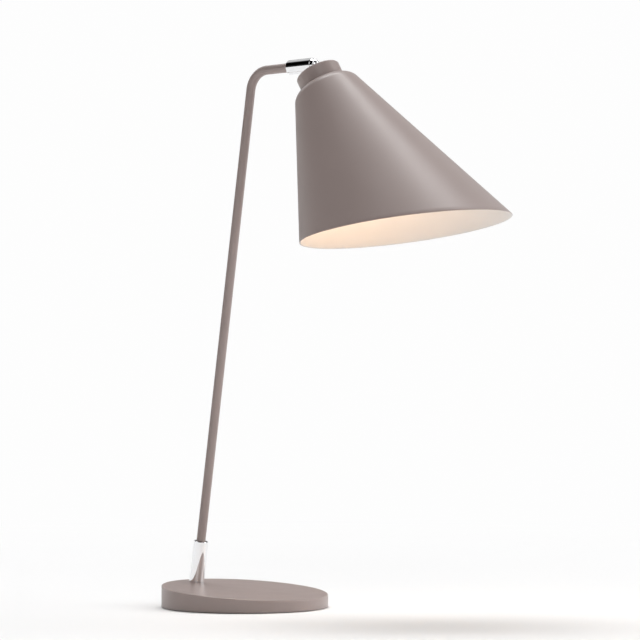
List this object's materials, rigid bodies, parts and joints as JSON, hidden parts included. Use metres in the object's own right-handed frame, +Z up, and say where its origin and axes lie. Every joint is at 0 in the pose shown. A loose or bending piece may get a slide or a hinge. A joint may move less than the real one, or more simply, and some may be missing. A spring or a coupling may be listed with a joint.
{
  "type": "desk lamp",
  "caption": "Desk lamp with a tilting, swivelling cone shade cut at a slant, on a bent tube arm that leans forward from a round wedge-shaped weighted base.",
  "frame": {"origin": "centre of the base's underside, on the table", "axes": "+Z up, +X forwards, the way the shade reaches; the lamp is symmetrical about the plane y = 0"},
  "size_m": [0.3482, 0.1764, 0.4901],
  "materials": {
    "taupe_paint": "satin",
    "chrome": "mirror-polished",
    "cast_iron": "rough",
    "zinc_steel": "zinc plated",
    "nickel": "nickel plated",
    "brass": "turned",
    "black_foam": "matt",
    "black_rubber": "matt",
    "lead_sheath": "matt",
    "black_plastic": "matt",
    "white_plastic": "matt",
    "nylon": "matt",
    "opal_diffuser": "opal, lit from inside"
  },
  "bodies": {
    "stand": {"base_cover": "taupe_paint", "base_weight": "cast_iron", "base_plate": "zinc_steel", "base_pad": "black_foam", "base_screws": "zinc_steel", "stem_ferrule": "chrome", "ferrule_grub_screw": "zinc_steel", "stem_nipple": "zinc_steel", "bevel_washer": "zinc_steel", "stem_lock_washer": "zinc_steel", "stem_nut": "zinc_steel", "cable_grommet": "black_rubber", "terminal_block": "white_plastic", "terminal_inserts": "brass", "terminal_screws": "zinc_steel", "arm_tube": "taupe_paint", "arm_lead": "lead_sheath", "arm_collar": "brass"},
    "swivel": {"swivel_sleeve": "chrome", "sleeve_gland": "chrome", "swivel_stop_screw": "zinc_steel", "ball_seat": "nylon", "disc_springs": "zinc_steel"},
    "ball": {"swivel_ball": "chrome"},
    "head": {"shade_cap": "taupe_paint", "holder_cap": "black_plastic", "holder_washer": "zinc_steel", "holder_nut": "zinc_steel", "holder_body": "black_plastic", "holder_shell": "brass", "holder_contact": "brass", "shade_ring": "white_plastic", "shade": "taupe_paint", "head_lead": "lead_sheath", "bulb_cap": "nickel", "bulb_contact": "brass", "bulb_body": "white_plastic", "bulb_board": "white_plastic", "bulb_diffuser": "opal_diffuser"}
  },
  "joints": [
    {"name": "head_swivel", "type": "hinge", "parent": "stand", "child": "swivel", "pos_m": [0.0783, 0, 0.4836], "axis": [0.9997, 0, 0.0253], "range_deg": [-90, 90]},
    {"name": "shade_tilt", "type": "hinge", "parent": "swivel", "child": "ball", "pos_m": [0.0783, 0, 0.4836], "axis": [0, 1, 0], "range_deg": [-85, 22]},
    {"name": "shade_spin", "type": "hinge", "parent": "ball", "child": "head", "pos_m": [0.0783, 0, 0.4836], "axis": [0.4906, 0, -0.8714], "range_deg": [-90, 90]}
  ]
}
